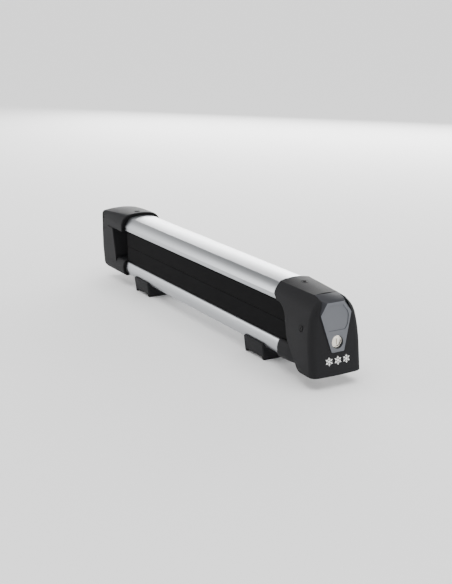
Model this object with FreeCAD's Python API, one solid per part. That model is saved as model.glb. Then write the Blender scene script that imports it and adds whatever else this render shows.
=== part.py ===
"""Roof ski rack: two rubber-lined aluminium profiles, hinged at one end and latched at the other.

Millimetres, +Z up. The rack lies along X with its lock at +X, and its feet stand on z = 0.
"""
import FreeCAD, Part
import math
import os

V = FreeCAD.Vector

# Driving dimensions
HALF_LENGTH = 309.8
RIM_HINGE_X = -230.3        # rim of the hinge caps
PROFILE_HINGE_X = -228.8    # where the profiles come into view at the hinge end
RIM_LOCK_X = 211.2          # rim of the lock housing
NOSE_RIM_X = 221.3          # rim of the fixed nose
PROFILE_START_X = -252.0
UPPER_END_X = 240.0
LOWER_END_X = 244.0
RUBBER_END_X = 252.0
LOWER_Z = 17.6
LOWER_TOP_Z = 38.9
UPPER_Z = 90.2
UPPER_TOP_Z = 111.6
PARTING_Z = 64.55           # where the two rubber linings meet
PROFILE_WALL = 2.2
RUBBER_HALF_WIDTH = 24.8
HINGE_X, HINGE_Z = -299.8, 100.9
HINGE_PIN_R = 2.6
SEAM_R = 19.7               # radius of the seam about the hinge pin
SEAM_GAP = 0.4
SIDE_PIN_X, SIDE_PIN_Z = 279.8, 71.3
SIDE_PIN_R = 2.5
BUTTON_PIN_X, BUTTON_PIN_Z = 287.0, 100.0
BUTTON_PIN_R = 2.0
LOCK_Z = 55.9
BARREL_R = 8.1
PLUG_R = 6.2
BARREL_BACK_X = 286.0
LOCK_RECESS = 2.2           # the lock's face lies this far behind the button's panel
FIT = 0.05                  # radial clearance of a running fit
SHELL = 2.8                 # wall of the moulded lock housing
FACE_LOW_X = 309.96         # lock end face at its lower edge
FACE_HIGH_X = 299.2         # lock end face at the top of the button
SKIRT_Z = 15.0
CORNER_R = 9.0              # rounding between the end face and the flanks
EDGE_R = 1.2                # small rounding along the rims of the mouldings
BUTTON_PROUD = 0.8          # the button's panel stands this far out of the end face
BUTTON_WALL = 2.6
DISH_DEPTH = 0.9            # finger dish in the button's panel
BUTTON_GAP = 0.55           # between the push button and the edge of its opening
BUTTON_SWING_R = 60.0       # clears the button's lowest corner as it turns about its pin
FACE_HIGH_Z = 103.8
CAP_BOTTOM_Z = 15.8         # underside of the fixed hinge cap
CAP_TOP_Z = 41.0            # floor of the gap beside the post
SOCKET_GAP = 0.1            # between a moulded end and the profile pushed into it
SLOPE_TOP_X, SLOPE_TOP_Z = 280.3, 110.2     # crest of the slope above the button
SCREW_R = 2.0
SCREW_CLEAR_R = 2.3
SCREW_HEAD_R = 4.3
SCREW_SEAT_R = 4.6
TOP_SEAT_HINGE_Z = 113.4    # seats of the screws in the tops of the arm's ends
TOP_SEAT_LOCK_Z = 112.0
BASE_SEAT_Z = 16.9
PORT_Y, PORT_Z = 18.4, 26.2     # screw ports inside the lower profile
TOP_SCREW_HINGE_X = -242.0
TOP_SCREW_LOCK_X = 234.0
FOOT_CENTRES = {"hinge_end": -173.2, "lock_end": 160.8}
FOOT_LENGTH = 47.5
FOOT_CORNER_R = 2.0
MOUNT_HOLE_R = 3.3
CLAMP_SCREW_PITCH = 30.0    # the two screws of a foot


# Shape helpers

def box(x0, x1, y0, y1, z0, z1):
    return Part.makeBox(x1 - x0, y1 - y0, z1 - z0, V(x0, y0, z0))


def rod(start, direction, radius, length):
    return Part.makeCylinder(radius, length, V(*start), V(*direction))


def tube(start, direction, outer, inner, length):
    return rod(start, direction, outer, length).cut(rod(start, direction, inner, length))


def join(shapes):
    whole = shapes[0]
    for shape in shapes[1:]:
        whole = whole.fuse(shape)
    return whole.removeSplitter()


def both_sides(shape):
    return [shape, shape.mirror(V(0, 0, 0), V(0, 1, 0))]


def last_point(step):
    """Where a step ends. A step is a point, (middle, end) of an arc, or a list that a spline runs through."""
    return step[-1] if isinstance(step, list) else step[1] if isinstance(step[0], tuple) else step


def wire(steps, put):
    """Join steps into a closed wire, each step from where the last one ended."""
    edges = []
    here = steps[0]
    for step in list(steps[1:]) + [steps[0]]:
        if isinstance(step, list):
            curve = Part.BSplineCurve()
            curve.interpolate([put(*point) for point in [here] + step])
            edges.append(curve.toShape())
        elif isinstance(step[0], tuple):
            edges.append(Part.Arc(put(*here), put(*step[0]), put(*step[1])).toShape())
        elif math.dist(here, step) > 1e-6:
            edges.append(Part.makeLine(put(*here), put(*step)))
        here = last_point(step)
    return Part.Wire(edges)


def mirrored(half, axis=0):
    """Complete a half outline that starts and ends on the centre line, by negating one coordinate."""
    def flip(point):
        return (-point[0], point[1]) if axis == 0 else (point[0], -point[1])
    ends = [last_point(step) for step in half]
    back = []
    for number in range(len(half) - 1, 0, -1):
        step = half[number]
        end = flip(ends[number - 1])
        if isinstance(step, list):
            back.append([flip(point) for point in reversed(step[:-1])] + [end])
        elif isinstance(step[0], tuple):
            back.append((flip(step[0]), end))
        else:
            back.append(end)
    return list(half) + back


def across(half, x):
    """Wire of a symmetric section at x."""
    return wire(mirrored(half), lambda y, z: V(x, y, z))


def bar(section_wire, length):
    return Part.Face(section_wire).extrude(V(length, 0, 0))


def rounded(shape, radius, wanted):
    """Fillet the edges whose middle point passes the test."""
    middles = [(edge, edge.valueAt((edge.FirstParameter + edge.LastParameter) / 2)) for edge in shape.Edges]
    return shape.makeFillet(radius, [edge for edge, middle in middles if wanted(middle)])


def side_prism(steps, half_width=60.0):
    """Prism of an X-Z outline through the whole width."""
    face = Part.Face(wire(steps, lambda x, z: V(x, -half_width, z)))
    return face.extrude(V(0, 2 * half_width, 0))


# Sections of the profiles and linings

def lower_half():
    return [(0, LOWER_Z), (22.6, LOWER_Z), ((28.0, 27.6), (26.0, 38.0)), (25.1, LOWER_TOP_Z),
            (0, LOWER_TOP_Z)]


def upper_half():
    return [(0, UPPER_Z), (28.0, UPPER_Z), (28.6, 90.9), (29.0, 96.4), ((24.9, 103.5), (19.2, 109.5)),
            ((9.8, 111.06), (0, UPPER_TOP_Z))]


def lower_profile():
    length = LOWER_END_X - PROFILE_START_X
    outline = across(lower_half(), PROFILE_START_X)
    hollow = bar(outline.makeOffset2D(-PROFILE_WALL), length)
    webs = [box(PROFILE_START_X, LOWER_END_X, -40, 40, 29.6, 31.6)]
    for side in (-1, 1):
        webs.append(box(PROFILE_START_X, LOWER_END_X, side * 11.2 - 1, side * 11.2 + 1, 10, 31))
        webs.append(box(PROFILE_START_X, LOWER_END_X, side * 19.5 - 1, side * 19.5 + 1, 30, 45))
        webs.append(rod((PROFILE_START_X, side * PORT_Y, PORT_Z), (1, 0, 0), 3.6, length))
    for web in webs:
        hollow = hollow.cut(web)
    body = bar(outline, length).cut(hollow)
    body = body.cut(box(PROFILE_START_X - 1, LOWER_END_X + 1, -5.5, 5.5, 10, 21))
    body = body.cut(box(PROFILE_START_X - 1, LOWER_END_X + 1, -14, 14, 36, 45))
    for side in (-1, 1):
        body = body.cut(rod((PROFILE_START_X - 1, side * PORT_Y, PORT_Z), (1, 0, 0), 1.9, length + 2))
    return body.cut(rod((TOP_SCREW_LOCK_X, 0, 25), (0, 0, 1), SCREW_R, 8)).cut(
        rod((TOP_SCREW_HINGE_X, 0, 25), (0, 0, 1), SCREW_R, 8))


def upper_profile():
    length = UPPER_END_X - PROFILE_START_X
    outline = across(upper_half(), PROFILE_START_X)
    hollow = bar(outline.makeOffset2D(-PROFILE_WALL), length)
    webs = [box(PROFILE_START_X, UPPER_END_X, -40, 40, 97.6, 99.6)]
    for side in (-1, 1):
        webs.append(box(PROFILE_START_X, UPPER_END_X, side * 19.5 - 1, side * 19.5 + 1, 88, 99))
        webs.append(box(PROFILE_START_X, UPPER_END_X, side * 9.0 - 1, side * 9.0 + 1, 98, 112))
    for web in webs:
        hollow = hollow.cut(web)
    body = bar(outline, length).cut(hollow)
    body = body.cut(box(PROFILE_START_X - 1, UPPER_END_X + 1, -14, 14, 88, 92.6))
    for x in (TOP_SCREW_HINGE_X, TOP_SCREW_LOCK_X):
        body = body.cut(rod((x, 0, 100), (0, 0, 1), SCREW_R, 14))
    return body


def rubber(flip):
    """A lining: a foot that snaps into the profile and a soft body with two air chambers."""
    half = [(0, 32.0), (18.2, 32.0), (18.2, 36.4), (13.7, 36.4), (13.7, 39.1), (24.3, 39.1),
            ((RUBBER_HALF_WIDTH, 51.6), (24.4, 63.4)), (23.6, PARTING_Z - 0.15), (0, PARTING_Z - 0.15)]
    start = PROFILE_HINGE_X + 0.2
    length = RUBBER_END_X - start
    body = bar(across(half, start), length)
    chamber = [(2.0, 43.0), (20.4, 43.0), ((21.0, 51.0), (20.6, 59.6)), (19.0, 60.8), (2.0, 60.8)]
    chamber = Part.Face(wire(chamber, lambda y, z: V(start, y, z))).extrude(V(length, 0, 0))
    for part in both_sides(chamber):
        body = body.cut(part)
    end = LOWER_END_X if not flip else UPPER_END_X
    body = body.cut(box(end, RUBBER_END_X + 1, -40, 40, 30, 39.1))
    if flip:
        body = body.mirror(V(0, 0, PARTING_Z), V(0, 0, 1))
    return body


# Hinge end

def end_plan():
    """Plan of the hinge end: rounded corners and a slightly bowed face."""
    outer = -HALF_LENGTH
    half = [(-225.0, 0), (-225.0, 40.0), (outer + 7.0, 40.0), (outer + 7.0, 34.0),
            ((outer + 2.4, 32.0), (outer + 0.8, 27.0)), ((outer + 0.2, 14.0), (outer, 0))]
    face = Part.Face(wire(mirrored(half, 1), lambda x, y: V(x, y, 0)))
    return face.extrude(V(0, 0, 130))


def seam_end(radius, z):
    return HINGE_X + math.sqrt(radius ** 2 - (HINGE_Z - z) ** 2)


def lower_cap_half():
    """Half outline of the fixed cap where it wraps the lower profile."""
    return [(0, CAP_BOTTOM_Z), (25.5, CAP_BOTTOM_Z), ((30.2, 19.0), (32.2, 25.0)),
            ((32.4, 33.0), (30.2, 39.0)), (28.4, CAP_TOP_Z), (0, CAP_TOP_Z)]


def hinge_bracket():
    """Fixed C-shaped end: a cap on the lower profile, a post, and two curved hinge lugs."""
    post = [(0, CAP_BOTTOM_Z), (25.5, CAP_BOTTOM_Z), ((30.2, 19.0), (32.4, 26.0)), (33.8, 90.0), (0, 90.0)]
    body = rounded(bar(across(lower_cap_half(), -300), RIM_HINGE_X + 300), EDGE_R,
                   lambda m: m.x > RIM_HINGE_X - 0.1 and m.z < 40)
    body = body.fuse(bar(across(post, -312), 54.0))
    seam = SEAM_R + SEAM_GAP
    top = 87.9
    left = -HALF_LENGTH
    low_left = HINGE_Z - math.sqrt(seam ** 2 - (HINGE_X - left) ** 2)
    shape = [(RIM_HINGE_X, 10.0), (RIM_HINGE_X, CAP_TOP_Z), (-253.5, CAP_TOP_Z),
             ((-256.6, 42.0), (-257.8, 44.5)), (-265.8, top), (seam_end(seam, top), top), ((HINGE_X, HINGE_Z - seam), (left, low_left)),
             (-303.4, 26.0), ((-299.5, 18.8), (-291.0, 15.0)), (-285.0, 10.0)]
    body = rounded(body.common(side_prism(shape)).common(end_plan()), EDGE_R,
                   lambda m: -266.5 < m.x < -240 and 40.5 < m.z < 88.5 and abs(m.y) > 27)
    lug = side_prism([(-277.4, 87.0), ((-280.8, 92.4), (-288.0, 95.4)), (HINGE_X, HINGE_Z - 5.7),
                      ((HINGE_X - 5.7, HINGE_Z), (HINGE_X, HINGE_Z + 5.7)), (-289.0, 105.0),
                      ((-275.2, 100.0), (-268.8, 87.0))])
    for side in (-1, 1):
        body = body.fuse(lug.common(box(-320, -260, side * 13 - 4.5, side * 13 + 4.5, 80, 120)))
    body = body.removeSplitter()
    body = body.cut(rod((HINGE_X, -40, HINGE_Z), (0, 1, 0), 3.8, 80))
    socket = bar(across(lower_half(), PROFILE_START_X).makeOffset2D(SOCKET_GAP), 60)
    body = body.cut(socket)
    body = body.cut(rod((TOP_SCREW_HINGE_X, 0, 5), (0, 0, 1), SCREW_CLEAR_R, 13))
    return body.cut(rod((TOP_SCREW_HINGE_X, 0, 5), (0, 0, 1), SCREW_SEAT_R, BASE_SEAT_Z - 5))


def arm_cap_section(x):
    """Section of the moving hinge cap, narrower and lower towards its end."""
    t = (RIM_HINGE_X - x) / (RIM_HINGE_X + HALF_LENGTH)
    top = 116.0 - 2.0 * t - 2.2 * t * t
    crease_y = 22.3 + 6.3 * t
    crease_z = 113.6 - 1.6 * t - 3.4 * t * t
    flank = 34.3 - 1.1 * t
    mid = ((crease_y + flank) / 2 + 3.0 - 1.2 * t, (crease_z + 97.5) / 2 + 0.9)
    return [(0, 78.0), (flank - 0.4, 78.0), (flank, 97.5), (mid, (crease_y, crease_z)),
            ((crease_y / 2, top - 0.25 * (top - crease_z)), (0, top))]


def hinge_cap():
    """Moving cap on the upper profile, hollow over the post so that the lugs can turn inside."""
    stations = (RIM_HINGE_X, -257.0, -284.0, -HALF_LENGTH - 1.0)
    body = Part.makeLoft([across(arm_cap_section(x), x) for x in stations], True)
    left = -HALF_LENGTH
    low_left = HINGE_Z - math.sqrt(SEAM_R ** 2 - (HINGE_X - left) ** 2)
    under = 88.3
    shape = [(RIM_HINGE_X, under), (seam_end(SEAM_R, under), under),
             ((HINGE_X, HINGE_Z - SEAM_R), (left, low_left)), (left, 105.0),
             ((left + 1.3, 109.4), (left + 5.0, 113.0)), (RIM_HINGE_X, 121.0)]
    body = rounded(body.common(side_prism(shape)).common(end_plan()), EDGE_R,
                   lambda m: m.x > RIM_HINGE_X - 0.1 and m.z > under + 1
                   or abs(m.z - under) < 0.1 and abs(m.y) > 30 and m.x > -279)
    wall = 3.0
    inner_left = left + 2.7
    room = Part.makeLoft([across(arm_cap_section(x), x).makeOffset2D(-wall) for x in stations], True)
    room = room.fuse(box(-330, -240, -29.4, 29.4, 70, 96))
    room = room.common(box(inner_left, -266.2, -31.0, 31.0, 70, 120))
    body = body.cut(room)
    for side in (-1, 1):
        boss = rod((HINGE_X, side * 18.2, HINGE_Z), (0, side, 0), 5.6, 13.5)
        body = body.fuse(boss.common(side_prism(shape)))
    body = body.removeSplitter()
    body = body.cut(rod((HINGE_X, -40, HINGE_Z), (0, 1, 0), HINGE_PIN_R, 80))
    for side in (-1, 1):
        body = body.cut(rod((HINGE_X, side * 31.6, HINGE_Z), (0, side, 0), 4.4, 5))
    socket = bar(across(upper_half(), PROFILE_START_X).makeOffset2D(SOCKET_GAP), 60)
    body = body.cut(socket)
    body = body.cut(rod((TOP_SCREW_HINGE_X, 0, 105), (0, 0, 1), SCREW_CLEAR_R, 12))
    return body.cut(rod((TOP_SCREW_HINGE_X, 0, TOP_SEAT_HINGE_Z), (0, 0, 1), SCREW_SEAT_R, 6))


def gasket(cap_half, profile_half, margin):
    """Thin seal between a cap's rim and its profile, just inside the cap's outline."""
    seal = bar(across(cap_half, RIM_HINGE_X).makeOffset2D(-margin), PROFILE_HINGE_X - RIM_HINGE_X)
    return seal.cut(bar(across(profile_half, RIM_HINGE_X - 1).makeOffset2D(SOCKET_GAP), 10))


def lower_gasket():
    seal = gasket(lower_cap_half(), lower_half(), 0.8)
    return seal.cut(box(-235, -220, -25.0, 25.0, 38.0, 45.0))


def upper_gasket():
    seal = gasket(arm_cap_section(RIM_HINGE_X), upper_half(), 0.8)
    return seal.cut(box(-235, -220, -40, 40, 70, 90.0))


def hinge_bushes():
    bushes = []
    for side in (-1, 1):
        start = (HINGE_X, side * 8.5, HINGE_Z)
        bush = tube(start, (0, side, 0), 3.8, HINGE_PIN_R + FIT, 9.0)
        flange = tube((HINGE_X, side * 17.5, HINGE_Z), (0, side, 0), 5.2, HINGE_PIN_R + FIT, 0.5)
        bushes.append(bush.fuse(flange).removeSplitter())
    return Part.makeCompound(bushes)


def hinge_pin():
    """Shaft with a domed head at one end and a groove for the clip at the other."""
    pin = rod((HINGE_X, -31.6, HINGE_Z), (0, 1, 0), HINGE_PIN_R, 63.2)
    head = rod((HINGE_X, -33.0, HINGE_Z), (0, 1, 0), 4.1, 1.4)
    pin = pin.fuse(head.makeFillet(0.6, [head.Edges[2]]))
    pin = pin.removeSplitter()
    slot = box(HINGE_X - 0.5, HINGE_X + 0.5, -33.1, -32.3, HINGE_Z - 2.4, HINGE_Z + 2.4)
    return pin.cut(slot).fuse(rod((HINGE_X, 31.6, HINGE_Z), (0, 1, 0), 1.9, 1.4)).removeSplitter()


def hinge_pin_clip():
    clip = tube((HINGE_X, 31.7, HINGE_Z), (0, 1, 0), 4.0, 1.9, 0.8)
    return clip.cut(box(HINGE_X - 1.4, HINGE_X + 1.4, 31, 33, HINGE_Z - 6, HINGE_Z))


# Lock end

def lock_section(x, inset=0.0):
    """Section of the lock housing: flared flanks that curve in to a crease, and a crowned top."""
    t = min((x - RIM_LOCK_X) / (281.0 - RIM_LOCK_X), 1.3)
    s = min(t, 1.0) + 0.25 * max(t - 1.0, 0.0)
    side = [(31.2 + 4.9 * s, 46.0), (31.3 + 4.3 * s, 78.0 - 14.0 * s), (30.9 + 2.9 * s, 95.0 - 15.0 * s),
            (28.6 + 0.9 * s, 102.4 - 7.6 * s), (25.0 - 2.0 * s, 107.6 - 4.2 * s),
            (21.2 - 4.8 * s, 112.2 - 2.6 * s)]
    side = [(y - inset, z - inset * max(0.0, (z - 80.0) / 30.0)) for y, z in side]
    top = 114.9 - 4.5 * s - inset
    crease = side[-1]
    crown = ((crease[0] / 2, top - 0.25 * (top - crease[1])), (0, top))
    return [(0, 4.0), (31.0 + 5.0 * s - inset, 4.0), side, crown]


def lock_plan(z, inset):
    """Plan of the lock housing's bowed end face at height z."""
    face = panel_x(z, -inset)
    half = [(190.0, 0), (190.0, 60.0), (face - 6.0, 60.0), ((face - 1.5, 30.0), (face, 0))]
    return wire(mirrored(half, 1), lambda x, y: V(x, y, z))


def slope_prism(drop):
    """Everything under the slope that runs from the top edge down to the button's panel."""
    crest = (SLOPE_TOP_X, SLOPE_TOP_Z - drop)
    return side_prism([(150, -20), (340, -20), (340, 91.7 - drop), crest, (150, 150.7 - drop)])


def lock_form(inset):
    """Outer form of the lock end, made smaller all round by inset, with rounded corners."""
    stations = (RIM_LOCK_X, 234.0, 258.0, 281.0, 314.0)
    tunnel = Part.makeLoft([across(lock_section(x, inset), x) for x in stations], True)
    column = Part.makeLoft([lock_plan(z, inset) for z in (2.0, 120.0)], True, True)
    body = rounded(tunnel.common(column), CORNER_R - inset,
                   lambda m: m.x > 290 and abs(m.y) > 20 and 50 < m.z < 80)
    return body.common(slope_prism(inset))


def skirt_prism():
    """Side view of the housing: a chamfer, an S-curve and a long slant down to the skirt."""
    return side_prism([(RIM_LOCK_X, 122.0), (RIM_LOCK_X, 97.0), (219.0, 90.0), ((232.6, 86.4), (240.2, 76.0)),
                       (244.6, 56.0), ((247.0, 48.3), (251.5, 42.0)), (268.5, 21.2),
                       ((272.8, 17.0), (279.0, SKIRT_Z)), (315.0, SKIRT_Z), (315.0, 122.0)])


def shield(grow, x0, x1):
    """Outline of the push button, as a prism along X."""
    half = [(0, 44.0 - grow), (7.4 + grow, 44.0 - grow), ((8.9 + grow, 44.7 - grow), (9.6 + grow, 46.4)),
            (21.4 + grow, 87.4), ((21.9 + grow, 90.8), (21.2 + grow, 94.2)), (16.6 + grow, 106.0),
            (15.6 + grow, 116.0), (0, 116.0)]
    return bar(across(half, x0), x1 - x0)


def lock_housing():
    body = rounded(lock_form(0.0).common(skirt_prism()), EDGE_R,
                   lambda m: (275 < m.x < 306 and m.z > 88) or (m.x < RIM_LOCK_X + 0.1 and m.z > 97.5)
                   or (m.z < 96 and m.x < 274 and abs(m.y) > 25))
    room = lock_form(SHELL)
    body = body.cut(room.common(box(243, 330, -60, 60, -10, 130)))
    body = body.cut(box(200, 246, -RUBBER_HALF_WIDTH - 0.6, RUBBER_HALF_WIDTH + 0.6, 20, 92.0))
    body = body.cut(room.common(box(200, 330, -60, 60, -10, UPPER_Z - 0.1)))
    body = body.cut(bar(across(upper_half(), 200).makeOffset2D(SOCKET_GAP), UPPER_END_X - 199.5))
    body = body.cut(shield(BUTTON_GAP, 279.5, 330))
    swing = rod((BUTTON_PIN_X, -10.0, BUTTON_PIN_Z), (0, 1, 0), BUTTON_SWING_R, 20.0)
    body = body.cut(swing.common(box(300, 330, -40, 40, 40, 50)))
    body = body.cut(rod((SIDE_PIN_X, -45, SIDE_PIN_Z), (0, 1, 0), SIDE_PIN_R, 90))
    for side in (-1, 1):
        boss = tube((SIDE_PIN_X, side * 17.0, SIDE_PIN_Z), (0, side, 0), 5.4, SIDE_PIN_R, 17.0)
        body = body.fuse(boss)
        seat = rod((SIDE_PIN_X, side * 34.2, SIDE_PIN_Z), (0, side, 0), 4.4, 6)
        body = body.cut(seat)
        ear = box(281.5, 292.5, 0, 8.0, 97.2, 105.0)
        ear.translate(V(0, 20.6 if side > 0 else -28.6, 0))
        body = body.fuse(ear.common(lock_form(1.0)))
    body = body.removeSplitter()
    body = body.cut(rod((BUTTON_PIN_X, -23.1, BUTTON_PIN_Z), (0, 1, 0), BUTTON_PIN_R, 46.2))
    body = body.cut(rod((TOP_SCREW_LOCK_X, 0, 105), (0, 0, 1), SCREW_CLEAR_R, 12))
    return body.cut(rod((TOP_SCREW_LOCK_X, 0, TOP_SEAT_LOCK_Z), (0, 0, 1), SCREW_SEAT_R, 6))


def panel_x(z, proud):
    t = (z - SKIRT_Z) / (FACE_HIGH_Z - SKIRT_Z)
    return FACE_LOW_X + (FACE_HIGH_X - FACE_LOW_X) * t + proud


def corner_knife():
    """Half space that cuts the facet between the button's slope, panel and flank at its top corner."""
    front, low, back = V(300.6, -11.0, 104.2), V(301.9, -21.6, 90.0), V(281.0, -24.5, 111.0)
    outward = (low - front).cross(back - front)
    if outward.x < 0:
        outward = outward.negative()
    turn = FreeCAD.Rotation(V(0, 0, 1), outward)
    knife = Part.makeBox(120, 120, 60)
    knife.Placement = FreeCAD.Placement(front + turn.multVec(V(-60, -60, 0)), turn)
    return knife


def button_form(inset):
    """Outer form of the button: its outline, its panel and slope, and the two corner facets."""
    low = 44.0 + inset
    edge = BUTTON_PROUD - inset
    back, top = 280.6 - inset, 109.9 - inset
    side = side_prism([(back, low), (panel_x(low, edge), low),
                       (panel_x(FACE_HIGH_Z, edge), FACE_HIGH_Z - inset), (280.8, top), (back, top)])
    form = side.common(shield(-inset, 270, 320))
    for knife in both_sides(corner_knife()):
        form = form.cut(knife if not inset else knife.translated(V(-inset, 0, -0.3 * inset)))
    return form


def push_button():
    """Hollow grey button: light panel, corner facets, a finger dish and the lock's sleeve."""
    body = button_form(0.0).cut(button_form(BUTTON_WALL).fuse(box(270, 282, -17, 17, 60, 104)))
    dish = [(0, 70.0), (11.6, 70.0), ((15.2, 75.0), (17.2, 84.0)), ((17.4, 89.0), (14.6, 94.0)),
            (10.8, 99.6), (0, 100.4)]
    depth = BUTTON_PROUD - DISH_DEPTH
    front = side_prism([(panel_x(60, depth), 60.0), (panel_x(102, depth), 102.0), (320, 102.0), (320, 60)])
    body = body.cut(bar(across(dish, 290), 30).common(front))
    body = body.cut(box(270, 296.5, -40, 40, 30, 96.0))
    sleeve = rod((288.0, 0, LOCK_Z), (1, 0, 0), BARREL_R + 1.8, 24).common(button_form(0.0).fuse(
        box(280, 300, -12, 12, 40, 70)))
    body = body.fuse(sleeve).removeSplitter()
    body = body.cut(rod((BUTTON_PIN_X, -25, BUTTON_PIN_Z), (0, 1, 0), BUTTON_PIN_R + FIT, 50))
    return body.cut(rod((280.0, 0, LOCK_Z), (1, 0, 0), BARREL_R, 40))


def button_pin():
    return rod((BUTTON_PIN_X, -23.0, BUTTON_PIN_Z), (0, 1, 0), BUTTON_PIN_R, 46.0)


def torsion_spring(centre_x, centre_z, half_width, mean_r, coils):
    """Close-wound spring about a cross pin: one ridge for each turn of its wire."""
    wire_r = half_width / coils
    steps = [(-half_width, mean_r - 0.7 * wire_r), (-half_width, mean_r)]
    for turn in range(coils):
        start = -half_width + 2 * turn * wire_r
        steps.append((start + wire_r, mean_r + wire_r))
        steps.append((start + 2 * wire_r, mean_r))
    steps.append((half_width, mean_r - 0.7 * wire_r))
    outline = wire(steps, lambda y, r: V(centre_x, y, centre_z + r))
    return Part.Face(outline).revolve(V(centre_x, 0, centre_z), V(0, 1, 0), 360)


def button_spring():
    return torsion_spring(BUTTON_PIN_X, BUTTON_PIN_Z, 5.0, 2.9, 7)


def latch_spring():
    return torsion_spring(SIDE_PIN_X, SIDE_PIN_Z, 6.5, 3.6, 8)


def latch_lever():
    """Fork on the side pin that narrows to a hook under the striker."""
    cheek = side_prism([(SIDE_PIN_X - 2.6, 43.0), (SIDE_PIN_X + 1.0, 43.0), (SIDE_PIN_X + 5.4, 66.0),
                        ((SIDE_PIN_X + 4.2, 75.4), (SIDE_PIN_X, 77.3)), ((SIDE_PIN_X - 5.0, 74.6),
                        (SIDE_PIN_X - 5.6, 69.0)), (SIDE_PIN_X - 4.6, 55.0)])
    parts = []
    for side in (-1, 1):
        parts.append(cheek.common(box(260, 300, side * 14.4 - 1.2, side * 14.4 + 1.2, 30, 90)))
    parts.append(box(SIDE_PIN_X - 3.6, SIDE_PIN_X + 1.0, -15.6, 15.6, 41.0, 47.5))
    hook = side_prism([(SIDE_PIN_X - 3.6, 47.5), (SIDE_PIN_X - 3.6, 44.0), (268.5, 36.0), (268.5, 26.6),
                       (276.0, 26.6), (277.5, 28.2), (277.5, 31.2), (272.5, 31.2), (272.5, 35.2),
                       (SIDE_PIN_X + 1.0, 41.4), (SIDE_PIN_X + 1.0, 47.5)])
    parts.append(hook.common(box(260, 300, -9.0, 9.0, 20, 60)))
    body = join(parts)
    return body.cut(rod((SIDE_PIN_X, -20, SIDE_PIN_Z), (0, 1, 0), SIDE_PIN_R + FIT, 40))


def side_pin():
    return rod((SIDE_PIN_X, -34.2, SIDE_PIN_Z), (0, 1, 0), SIDE_PIN_R, 68.4)


def side_pin_caps():
    """Round heads that close the ends of the side pin, each with a small centre mark."""
    caps = []
    for side in (-1, 1):
        cap = rod((SIDE_PIN_X, side * 34.3, SIDE_PIN_Z), (0, side, 0), 3.6, 1.0)
        caps.append(cap.cut(rod((SIDE_PIN_X, side * 34.9, SIDE_PIN_Z), (0, side, 0), 1.2, 1)))
    return Part.makeCompound(caps)


def lock_barrel():
    """Fixed sleeve of the lock, pushed into the button's sleeve up to its rim."""
    front = panel_x(LOCK_Z, BUTTON_PROUD) - LOCK_RECESS
    return tube((BARREL_BACK_X, 0, LOCK_Z), (1, 0, 0), BARREL_R, PLUG_R + FIT, front - BARREL_BACK_X)


def lock_plug():
    """Turning core with a key slot across its face and a square tail for the cam."""
    front = panel_x(LOCK_Z, BUTTON_PROUD) - LOCK_RECESS
    plug = rod((BARREL_BACK_X - 0.2, 0, LOCK_Z), (1, 0, 0), PLUG_R, front - BARREL_BACK_X + 0.1)
    tail = box(282.6, BARREL_BACK_X, -2.0, 2.0, LOCK_Z - 2.0, LOCK_Z + 2.0)
    plug = join([plug, tail])
    slot = box(front - 9.0, front + 1.0, -0.6, 0.6, LOCK_Z - 3.6, LOCK_Z + 3.6)
    return plug.cut(slot).cut(rod((282.0, 0, LOCK_Z), (1, 0, 0), 0.9, 6))


def lock_cam():
    """Flat cam that reaches down to the lever when unlocked and aside when locked."""
    plate = join([rod((283.2, 0, LOCK_Z), (1, 0, 0), 5.0, 1.8),
                  box(283.2, 285.0, -3.0, 3.0, LOCK_Z - 9.5, LOCK_Z),
                  rod((283.2, 0, LOCK_Z - 9.5), (1, 0, 0), 3.0, 1.8)])
    toe = box(281.6, 283.2, -3.0, 3.0, LOCK_Z - 12.0, LOCK_Z - 8.0)
    return join([plate, toe]).cut(box(280, 290, -2.0, 2.0, LOCK_Z - 2.0, LOCK_Z + 2.0))


def cam_screw():
    head = rod((281.2, 0, LOCK_Z), (1, 0, 0), 2.9, 1.4)
    return head.fuse(rod((282.0, 0, LOCK_Z), (1, 0, 0), 0.9, 5)).removeSplitter()


def barrel_nut():
    """Ring behind the button's sleeve that holds the barrel in."""
    return tube((BARREL_BACK_X, 0, LOCK_Z), (1, 0, 0), BARREL_R + 1.6, BARREL_R, 1.9)


def lock_nose():
    """Fixed nose on the lower profile: tapers in behind the skirt and carries the striker."""
    def section(x):
        t = (x - NOSE_RIM_X) / (285.0 - NOSE_RIM_X)
        w = 31.2 - 6.4 * t * t
        return [(0, 15.9 + 1.2 * t), (w - 6.4, 15.9 + 1.2 * t), ((w - 1.6, 19.2 + t), (w, 26.0)),
                ((w - 0.2, 33.6), (w - 2.2, 39.2)), (w - 3.8, 41.0), (0, 41.0)]
    stations = (NOSE_RIM_X, 243.0, 264.0, 285.0)
    body = rounded(Part.makeLoft([across(section(x), x) for x in stations], True, True), EDGE_R,
                   lambda m: m.x < NOSE_RIM_X + 0.1 and m.z < 40)
    body = body.common(side_prism([(NOSE_RIM_X, 10), (262, 10), (285, 21.0), (285, 34.0), (254.0, 34.0),
                                   (253.0, 41.2), (NOSE_RIM_X, 41.2)]))
    body = body.cut(bar(across(lower_half(), 200).makeOffset2D(SOCKET_GAP), LOWER_END_X - 199.9))
    body = body.cut(box(200, RUBBER_END_X + 0.3, -RUBBER_HALF_WIDTH - 0.2, RUBBER_HALF_WIDTH + 0.2, 38.9, 50))
    body = body.cut(box(254.4, 284.0, -14.2, 14.2, 32.0, 40))
    body = body.cut(box(256.0, 279.2, -11.0, 11.0, 21.0, 40))
    for side in (-1, 1):
        body = body.cut(rod((281.6, side * 8.5, 24), (0, 0, 1), 1.2, 10))
    body = body.cut(rod((TOP_SCREW_LOCK_X, 0, 5), (0, 0, 1), SCREW_CLEAR_R, 13))
    return body.cut(rod((TOP_SCREW_LOCK_X, 0, 5), (0, 0, 1), SCREW_SEAT_R, BASE_SEAT_Z - 5))


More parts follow.
